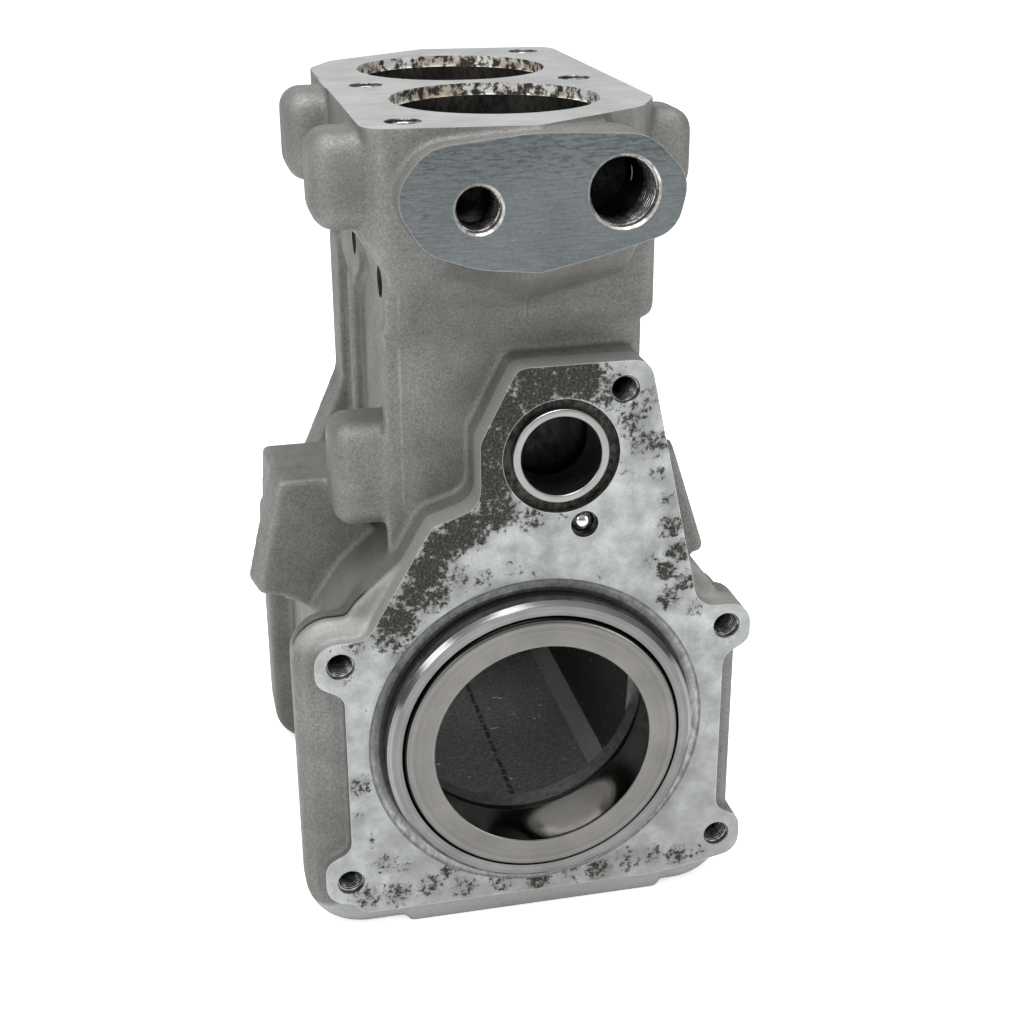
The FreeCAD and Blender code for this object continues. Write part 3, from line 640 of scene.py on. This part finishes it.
def addStock(work, axis, level, depth):
    # Machining allowance: the flat faces at this level grown outward, so that their outline stays sharp
    flatWithin = 2e-5
    outward = math.copysign(1.0, depth)
    flat = [f for f in work.faces if all(abs(v.co[axis] - level * mm) < flatWithin for v in f.verts)]
    copied = bmesh.ops.duplicate(work, geom=flat)["geom"]
    faces = [g for g in copied if isinstance(g, bmesh.types.BMFace)]
    verts = [g for g in copied if isinstance(g, bmesh.types.BMVert)]
    sink = Vector((0, 0, 0))
    sink[axis] = -outward * mm
    bmesh.ops.translate(work, verts=verts, vec=sink)
    grown = bmesh.ops.extrude_face_region(work, geom=faces, use_keep_orig=True)["geom"]
    tips = [g for g in grown if isinstance(g, bmesh.types.BMVert)]
    rise = Vector((0, 0, 0))
    rise[axis] = (depth + outward) * mm
    bmesh.ops.translate(work, verts=tips, vec=rise)


def shavedCopy():
    # The CAD housing with the few places taken off where the part has less metal
    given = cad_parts["housing"]
    copy = bpy.data.objects.new("shavedCopy", given.data.copy())
    bpy.context.scene.collection.objects.link(copy)
    copy.matrix_world = given.matrix_world.copy()
    work = bmesh.new()
    for near, far, outline in casting["shaved"]:
        addPrism(work, "y", outline, near, far)
    tool = joinMesh("shaveTool", work)
    cut = copy.modifiers.new("shave", "BOOLEAN")
    cut.operation = "DIFFERENCE"
    cut.object = tool
    cut.solver = "EXACT"
    cut.use_self = True
    settle(copy)
    bpy.data.objects.remove(tool)
    print("shaved copy", len(copy.data.polygons))
    return copy


def noseHolePlaces(c):
    # Four screws round the rear nose
    for k in range(4):
        turn = math.radians(45 + 90 * k)
        yield c["noseHoleCircle"] * math.cos(turn), c["noseHoleCircle"] * math.sin(turn)


def castBlank(c):
    # The casting before machining: the CAD shape with its bores filled and stock on its machined faces
    shaved = shavedCopy()
    work = bmesh.new()
    work.from_mesh(shaved.data)
    bmesh.ops.remove_doubles(work, verts=work.verts, dist=1e-6)
    for axis, plane, outward in (("y", "frontPlane", -1), ("y", "padPlane", -1), ("z", "topPlane", 1),
                                 ("z", "footPlane", -1), ("y", "rearPlane", 1)):
        addStock(work, "xyz".index(axis), c[plane], outward * c["stock"])
    addBox(work, *c["chamberPlug"])
    addPlug(work, 0, 0, c["seatPlug"])
    addPlug(work, 0, 0, c["nosePlug"])
    for y in c["tappetY"]:
        addPlug(work, 0, y, c["tappetPlug"], "z")
    addPlug(work, *c["bush"], c["bushPlug"])
    addPlug(work, *c["ball"], c["ballPlug"])
    for x, z in c["flangeHoles"]:
        addPlug(work, x, z, c["flangeHolePlug"])
    for x, y in c["headHoles"]:
        addPlug(work, x, y, c["headHolePlug"], "z")
    for x, z, radius, deep in c["ports"]:
        wall, near, length = c["portPlug"]
        addPlug(work, x, z, (radius + wall, near, length))
        addPlug(work, x, z, c["portEndPlug"])
    for side, y, z, radius in c["recesses"]:
        if side > 0:
            for drop, wide in c["pear"]:
                addCylinder(work, (c["padInner"], y, z + drop), wide, c["recessFace"] - c["padInner"], "x")
    for outline in c["bosses"]:
        addPrism(work, "x", outline, -c["recessFace"], -c["bossInner"])
    for side, y, foot in c["fins"]:
        ends = sorted((side * c["finFrom"], side * c["finTo"]))
        addBox(work, (ends[0], y - c["finHalf"], foot), (ends[1], y + c["finHalf"], c["finTop"]))
    for x, z in noseHolePlaces(c):
        addPlug(work, x, z, c["noseHolePlug"])
    blank = joinMesh("housing_casting", work, [castSkin])
    bpy.data.objects.remove(shaved)
    remesh = blank.modifiers.new("skin", "REMESH")
    remesh.mode = "VOXEL"
    remesh.voxel_size = c["voxel"] * mm
    smooth = blank.modifiers.new("fillets", "SMOOTH")
    smooth.factor = 0.5
    smooth.iterations = c["smoothing"]
    thin = blank.modifiers.new("thin", "DECIMATE")
    thin.ratio = c["keepShare"]
    settle(blank)
    print("blank cast", len(blank.data.vertices), len(blank.data.polygons))
    return blank


def cutters(c):
    # Every machining tool as a mesh of its own, in the finish that it leaves behind
    made = []

    def cutter(name, mat, shape, *sizes):
        work = bmesh.new()
        shape(work, *sizes)
        bmesh.ops.recalc_face_normals(work, faces=work.faces)
        made.append(joinMesh(name, work, [mat]))

    (left, front, under), (right, back, over) = c["outside"]
    cutter("cutFront", flangeFace, addBox, (left, front, under), (right, c["frontPlane"], c["padFrom"]))
    cutter("cutPad", padFace, addBox, (left, front, c["padFrom"]), (right, c["padPlane"], c["topPlane"]))
    cutter("cutTop", headFace, addBox, (left, front, c["topPlane"]), (right, back, over))
    cutter("cutRear", headFace, addBox, (left, c["rearPlane"], under), (right, back, c["rearUp"]))
    cutter("cutFoot", footFace, addBox, (left, c["frontPlane"], under), (right, c["rearPlane"], c["footPlane"]))

    past = 1  # how far a tool runs past the face it starts from
    seat = [(0, -past), (c["reliefOut"] + c["reliefFlare"], -past),
            (c["sleeveRadius"], c["reliefDepth"]), (c["sleeveRadius"], c["sleeveEnd"]),
            (c["floorRadius"], c["sleeveEnd"]), (c["floorRadius"], c["chamberNear"] + past),
            (0, c["chamberNear"] + past)]
    made.append(lathe("cutSeat", seat, seatWall, closed=False))
    rear = [(0, c["chamberFar"] - past), (c["rearBore"], c["chamberFar"] - past), (c["rearBore"], c["rearSeat"]),
            (c["rearRadius"], c["rearSeat"]), (c["rearRadius"], c["rearPlane"] + past),
            (0, c["rearPlane"] + past)]
    made.append(lathe("cutRearSeat", rear, seatWall, closed=False))
    for y in c["tappetY"]:
        foot, lip, sides = (0, y, c["tappetLow"]), (0, y, c["topPlane"] - c["lipDepth"]), c["tappetSides"]
        cutter("cutTappet", boreWall, addCylinder, foot, c["tappetRadius"], c["tappetLong"], "z", sides)
        cutter("cutLip", boreLip, addCylinder, lip, c["lipRadius"], c["lipLong"], "z", sides)
    x, z = c["bush"]
    before, inside = (x, -past, z), (x, past, z)
    cutter("cutGroove", grooveWall, addCylinder, before, c["groove"], c["grooveDeep"] + past, "y", c["bushSides"])
    cutter("cutBushSeat", holeWall, addCylinder, inside, c["bushHole"], c["bushDeep"] - past, "y", c["bushSides"])
    x, z = c["ball"]
    cutter("cutPocket", holeWall, addCylinder, (x, -past, z), c["ballPocket"], c["ballPocketDeep"] + past, "y")
    cutter("cutGallery", holeWall, addCylinder, (x, past, z), c["ballHole"], c["galleryDeep"], "y")
    for x, z in c["flangeHoles"]:
        cutter("cutHole", holeWall, drillHole, (x, 0, z), *c["flangeHole"], "y")
    for x, y in c["headHoles"]:
        cutter("cutHeadHole", headHoleWall, drillHole, (x, y, c["topPlane"]), *c["headHole"], "z")
    for x, z, radius, deep in c["ports"]:
        cutter("cutPort", portWall, drillHole, (x, c["padPlane"], z), radius, deep, c["portSink"], "y")
    for side, y, z, radius in c["recesses"]:
        cutter("cutRecess", recessWall, addCylinder, (c["recessStart"][side], y, z), radius, c["recessLong"], "x")
    for x, z in noseHolePlaces(c):
        cutter("cutNoseHole", holeWall, addPlug, x, z, c["noseHole"])
    cutter("cutChamber", chamberSkin, addPrism, "y", c["chamber"], c["chamberNear"], c["chamberFar"])
    return made


def machineHousing(c):
    blank = castBlank(c)
    tools = bpy.data.collections.new("tools")
    bpy.context.scene.collection.children.link(tools)
    made = cutters(c)
    for tool in made:
        bpy.context.scene.collection.objects.unlink(tool)
        tools.objects.link(tool)
    cut = blank.modifiers.new("machining", "BOOLEAN")
    cut.operation = "DIFFERENCE"
    cut.operand_type = "COLLECTION"
    cut.collection = tools
    cut.solver = "EXACT"
    cut.material_mode = "TRANSFER"
    settle(blank)
    for tool in made:
        bpy.data.objects.remove(tool)
    bpy.data.collections.remove(tools)
    blank.data.set_sharp_from_angle(angle=math.radians(c["sharpAngle"]))
    for face in blank.data.polygons:
        face.use_smooth = True
    print("housing machined", len(blank.data.vertices), len(blank.data.polygons), len(blank.data.materials))
    return blank


housingPiece = machineHousing(casting)
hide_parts("housing")
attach(housingPiece, "root")


def roundCorner(points, index, size, steps=4):
    # Swaps one corner of a section for a short arc-like run
    before, here, after = [Vector(points[(index + k) % len(points)]) for k in (-1, 0, 1)]
    a = here + (before - here).normalized() * size
    b = here + (after - here).normalized() * size
    run = []
    for k in range(steps + 1):
        t = k / steps
        run.append(tuple(a * (1 - t) ** 2 + here * 2 * t * (1 - t) + b * t ** 2))
    return points[:index] + run + points[index + 1:]


ringSharpAngle = 24


def finishRing(piece, node):
    for face in piece.data.polygons:
        face.use_smooth = True
    piece.data.set_sharp_from_angle(angle=math.radians(ringSharpAngle))
    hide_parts(node)
    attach(piece, "root")


# near is the ring's narrow end, and into is the way along y that its bore widens
frontCup = {"outer": 36.0, "mouth": 27.885, "near": -6.1, "width": 23.0, "into": 1, "angle": 11.86,
            "wideCorner": 0.9, "backCorner": 1.2, "corner": 2.0, "mouthCorner": 0.8, "play": 0.02, "sides": 192,
            "polishedPast": 0.2}
rearCup = dict(frontCup, outer=31.0, mouth=24.5, near=150.0, width=17.0, into=-1, corner=1.8)


def raceRing(name, r):
    # Tapered race: a ring whose bore is a cone, polished where the rollers ran
    far = r["near"] + r["into"] * r["width"]
    wide = r["mouth"] + r["width"] * math.tan(math.radians(r["angle"]))
    outer = r["outer"] - r["play"]
    section = [(r["mouth"], r["near"]), (outer, r["near"]), (outer, far), (wide, far)]
    section = roundCorner(section, 3, r["wideCorner"])
    section = roundCorner(section, 2, r["backCorner"])
    section = roundCorner(section, 1, r["corner"], 7)
    section = roundCorner(section, 0, r["mouthCorner"])
    piece = lathe(name, section, cupSteel, r["sides"])
    piece.data.materials.append(racewaySteel)
    for face in piece.data.polygons:
        out = math.hypot(face.center.x, face.center.z)
        if out < (wide + r["polishedPast"]) * mm and abs(face.normal.y) < 0.4:
            face.material_index = 1
    return piece


finishRing(raceRing("front_race_ring", frontCup), "front_bearing_cup")
finishRing(raceRing("rear_race_ring", rearCup), "rear_bearing_cup")

sleeve = {"outer": 40.0, "inner": 36.0, "near": -5.2, "end": 18.9, "floor": 33.0, "seat": 16.9,
          "bevel": 0.6, "chamfer": 1.1, "play": 0.05, "sides": 192}


def sleeveRing(s):
    # Steel sleeve with a floor behind the race and a polished chamfer round its outer rim
    outer = s["outer"] - s["play"]
    section = [(s["inner"], s["near"]), (outer, s["near"]), (outer, s["end"]),
               (s["floor"], s["end"]), (s["floor"], s["seat"]), (s["inner"], s["seat"])]
    section = roundCorner(section, 1, s["chamfer"], 1)
    section = roundCorner(section, 0, s["bevel"], 3)
    piece = lathe("front_sleeve_ring", section, sleeveSteel, s["sides"])
    piece.data.materials.append(chamferSteel)
    for face in piece.data.polygons:
        atRim = face.center.xz.length > (s["outer"] - s["chamfer"]) * mm
        if atRim and face.center.y < (s["near"] + s["chamfer"]) * mm and 0.5 < -face.normal.y < 0.9:
            face.material_index = 1
    return piece


finishRing(sleeveRing(sleeve), "front_bearing_sleeve")

bush = {"outer": 12.05, "inner": 10.05, "near": 0.0, "length": 14.0, "bevel": 0.5, "play": 0.02, "sides": 128}


def bushRing(b):
    outer = b["outer"] - b["play"]
    section = [(b["inner"], b["near"]), (outer, b["near"]), (outer, b["length"]), (b["inner"], b["length"])]
    section = roundCorner(section, 1, b["bevel"], 3)
    section = roundCorner(section, 0, b["bevel"], 3)
    return lathe("gear_shaft_bush_ring", section, bushSteel, b["sides"], casting["bush"])


finishRing(bushRing(bush), "gear_shaft_bush")

ball = {"centre": (11.7, 4.0, 57.7), "radius": 3.0, "around": 48, "up": 24}


def galleryBall(b):
    work = bmesh.new()
    place = Matrix.Translation(Vector(b["centre"]) * mm)
    bmesh.ops.create_uvsphere(work, u_segments=b["around"], v_segments=b["up"],
                              radius=b["radius"] * mm, matrix=place)
    return joinMesh("gallery_ball_polished", work, [ballSteel])


finishRing(galleryBall(ball), "gallery_ball")
print("rings made")


# Ridges stand in the holes on (at) points, and run down them by tilt
smallPort, largePort = casting["ports"]
threads = {
    "flange_threads": {"at": [(x, 0.9, z) for x, z in casting["flangeHoles"]], "radius": casting["flangeHole"][0],
                       "pitch": 1.0, "turns": 17, "tilt": (-90, 0, 0), "metal": threadMetal},
    "head_threads": {"at": [(x, y, 153.4) for x, y in casting["headHoles"]], "radius": casting["headHole"][0],
                     "pitch": 1.25, "turns": 18, "tilt": (180, 0, 0), "metal": headThreadMetal},
    "small_port_threads": {"at": [(smallPort[0], 0.6, smallPort[1])], "radius": smallPort[2],
                           "pitch": 1.25, "turns": 7, "tilt": (-90, 0, 0), "metal": threadMetal},
    "large_port_threads": {"at": [(largePort[0], 0.6, largePort[1])], "radius": largePort[2],
                           "pitch": 1.25, "turns": 8, "tilt": (-90, 0, 0), "metal": threadMetal},
}
ridgeShare = 0.46  # half height of a ridge, of the pitch
ridgeSides = 4
coilSteps = 32  # points to a turn


def threadTree():
    # A ridge swept along a coil, one at each point of the mesh that carries the nodes
    tree = bpy.data.node_groups.new("cutThreads", "GeometryNodeTree")
    face = tree.interface
    face.new_socket("Geometry", in_out="INPUT", socket_type="NodeSocketGeometry")
    for name in ("Radius", "Pitch", "Turns", "Ridge"):
        face.new_socket(name, in_out="INPUT", socket_type="NodeSocketFloat")
    face.new_socket("Tilt", in_out="INPUT", socket_type="NodeSocketVector")
    face.new_socket("Metal", in_out="INPUT", socket_type="NodeSocketMaterial")
    face.new_socket("Geometry", in_out="OUTPUT", socket_type="NodeSocketGeometry")
    given = addNode(tree, "NodeGroupInput").outputs
    height = addNode(tree, "Math", {0: given["Pitch"], 1: given["Turns"]}, operation="MULTIPLY").outputs[0]
    coil = addNode(tree, "GeometryNodeCurveSpiral", {
        "Resolution": coilSteps, "Rotations": given["Turns"], "Height": height,
        "Start Radius": given["Radius"], "End Radius": given["Radius"]}).outputs[0]
    upright = addNode(tree, "GeometryNodeSetCurveNormal", {"Curve": coil}, mode="Z_UP").outputs[0]
    ridge = addNode(tree, "GeometryNodeCurvePrimitiveCircle", {
        "Resolution": ridgeSides, "Radius": given["Ridge"]})
    swept = addNode(tree, "GeometryNodeCurveToMesh", {
        "Curve": upright, "Profile Curve": ridge.outputs[0], "Fill Caps": True}).outputs[0]
    turn = addNode(tree, "FunctionNodeEulerToRotation", {0: given["Tilt"]}).outputs[0]
    placed = addNode(tree, "GeometryNodeInstanceOnPoints", {
        "Points": given["Geometry"], "Instance": swept, "Rotation": turn}).outputs[0]
    real = addNode(tree, "GeometryNodeRealizeInstances", {0: placed}).outputs[0]
    metal = addNode(tree, "GeometryNodeSetMaterial", {"Geometry": real, "Material": given["Metal"]}).outputs[0]
    addNode(tree, "NodeGroupOutput", {0: metal})
    return tree


def cutThreads():
    tree = threadTree()
    sockets = {item.name: item.identifier for item in tree.interface.items_tree if item.in_out == "INPUT"}
    for name, t in threads.items():
        work = bmesh.new()
        for place in t["at"]:
            work.verts.new(Vector(place) * mm)
        piece = joinMesh(name, work)
        nodes = piece.modifiers.new("threads", "NODES")
        nodes.node_group = tree
        nodes[sockets["Radius"]] = t["radius"] * mm
        nodes[sockets["Pitch"]] = t["pitch"] * mm
        nodes[sockets["Turns"]] = float(t["turns"])
        nodes[sockets["Ridge"]] = t["pitch"] * ridgeShare * mm
        nodes[sockets["Tilt"]] = [math.radians(a) for a in t["tilt"]]
        nodes[sockets["Metal"]] = t["metal"]
        settle(piece)
        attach(piece, "root")
        print("threads", name, len(piece.data.polygons))


cutThreads()


studio = {"white": "#ffffff", "floorGlow": 0.55, "floorHalf": 4.0, "floorGap": 0.0002,
          "skyLow": 0.14, "skyHigh": 0.75}
lamps = {
    "overhead": {"at": (-0.15, -0.1, 1.1), "aim": (0, 0.06, 0.1), "size": 0.9, "power": 13.0},
    "leftFront": {"at": (-0.9, -0.8, 0.55), "aim": (0, 0.0, 0.05), "size": 0.7, "power": 4.8},
    "rightFront": {"at": (0.9, -0.9, 0.35), "aim": (0, 0.0, 0.03), "size": 0.6, "power": 3.4},
}
viewer = {"at": (-86.46, -355.14, 213.99), "azimuth": 12.67, "elevation": 22.57, "roll": -0.29,
          "lens": 57.19, "sensor": 36.0, "clipStart": 0.01}


def makeStage(s):
    # Pale floor that keeps the shadow, and a soft sky that the camera sees as plain white
    white = hexLinear(s["white"])
    mat, tree = newMaterial("paleFloor")
    shader = addNode(tree, "BsdfDiffuse", {"Color": white}).outputs[0]
    seen = addNode(tree, "LightPath").outputs["Is Camera Ray"]
    glow = addNode(tree, "Emission", {"Color": white, "Strength": s["floorGlow"]}).outputs[0]
    both = addNode(tree, "AddShader", {0: shader, 1: glow}).outputs[0]
    mixed = addNode(tree, "MixShader", {0: seen, 1: shader, 2: both}).outputs[0]
    addNode(tree, "OutputMaterial", {"Surface": mixed})
    work = bmesh.new()
    level = Matrix.Translation((0, 0, casting["footPlane"] * mm - s["floorGap"]))
    bmesh.ops.create_grid(work, x_segments=1, y_segments=1, size=s["floorHalf"], matrix=level)
    floor = joinMesh("floor", work, [mat])

    world = bpy.data.worlds.new("studio")
    bpy.context.scene.world = world
    world.use_nodes = True
    tree = world.node_tree
    tree.nodes.clear()
    seen = addNode(tree, "LightPath").outputs["Is Camera Ray"]
    facing = addNode(tree, "TexCoord").outputs["Generated"]
    upward = addNode(tree, "SeparateXYZ", {0: facing}).outputs["Z"]
    fade = addNode(tree, "MapRange", rangeOf(upward, -0.1, 0.85, s["skyLow"], s["skyHigh"])).outputs[0]
    soft = addNode(tree, "Background", {"Color": white, "Strength": fade}).outputs[0]
    plain = addNode(tree, "Background", {"Color": white, "Strength": 1.0}).outputs[0]
    mixed = addNode(tree, "MixShader", {0: seen, 1: soft, 2: plain}).outputs[0]
    addNode(tree, "OutputWorld", {"Surface": mixed})


def makeLamps():
    for name, l in lamps.items():
        data = bpy.data.lights.new(name, "AREA")
        data.shape = "DISK"
        data.size = l["size"]
        data.energy = l["power"]
        lamp = bpy.data.objects.new(name, data)
        bpy.context.scene.collection.objects.link(lamp)
        lamp.location = l["at"]
        lamp.rotation_mode = "QUATERNION"
        lamp.rotation_quaternion = (Vector(l["aim"]) - Vector(l["at"])).to_track_quat("-Z", "Y")


def makeCamera(v):
    azimuth, elevation, roll = [math.radians(v[name]) for name in ("azimuth", "elevation", "roll")]
    level = math.cos(elevation)
    ahead = Vector((math.sin(azimuth) * level, math.cos(azimuth) * level, -math.sin(elevation)))
    right = Vector((math.cos(azimuth), -math.sin(azimuth), 0.0))
    up = right.cross(ahead)
    side = right * math.cos(roll) + up * math.sin(roll)
    over = up * math.cos(roll) - right * math.sin(roll)
    data = bpy.data.cameras.new("viewer")
    data.sensor_width = v["sensor"]
    data.lens = v["lens"]
    data.clip_start = v["clipStart"]
    camera = bpy.data.objects.new("viewer", data)
    bpy.context.scene.collection.objects.link(camera)
    turn = Matrix((side, over, -ahead)).transposed()
    camera.matrix_world = Matrix.Translation(Vector(v["at"]) * mm) @ turn.to_4x4()
    bpy.context.scene.camera = camera


makeStage(studio)
makeLamps()
makeCamera(viewer)
bpy.context.scene.view_settings.view_transform = "Standard"
print("stage set")
